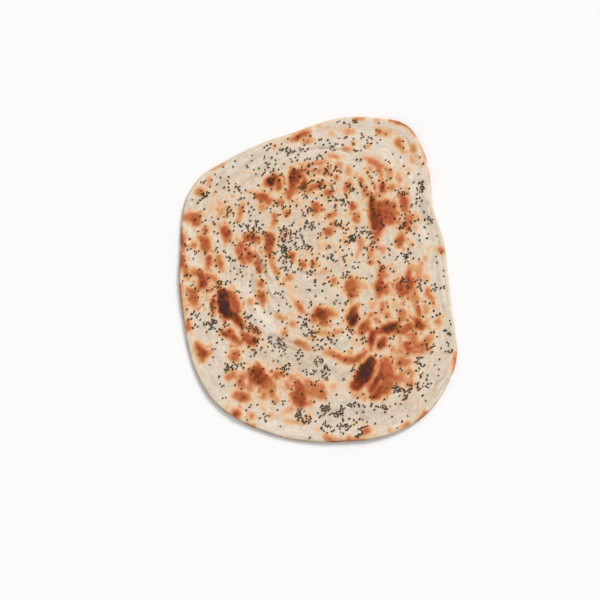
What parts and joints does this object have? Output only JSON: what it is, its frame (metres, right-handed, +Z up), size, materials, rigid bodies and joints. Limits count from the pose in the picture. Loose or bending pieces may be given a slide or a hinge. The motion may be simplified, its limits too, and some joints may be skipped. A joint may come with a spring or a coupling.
{
  "type": "malawach flatbread",
  "caption": "Large thin flatbread of coiled, layered dough with an uneven outline, low coil ridges, toasted blisters and small black seeds on top. It lies flat as one piece.",
  "frame": {"origin": "on the resting surface, under the middle of the bread's outline", "axes": "+Z up out of the seeded top, +Y along the longer extent of the outline, +X to the right of it"},
  "size_m": [0.3, 0.3591, 0.0061],
  "materials": {
    "baked_dough": "matte baked dough, cream with golden to dark brown toasted spots",
    "black_seed": "matte black seed coat with a faint sheen"
  },
  "bodies": {
    "root": {"flatbread": "baked_dough"}
  },
  "joints": []
}
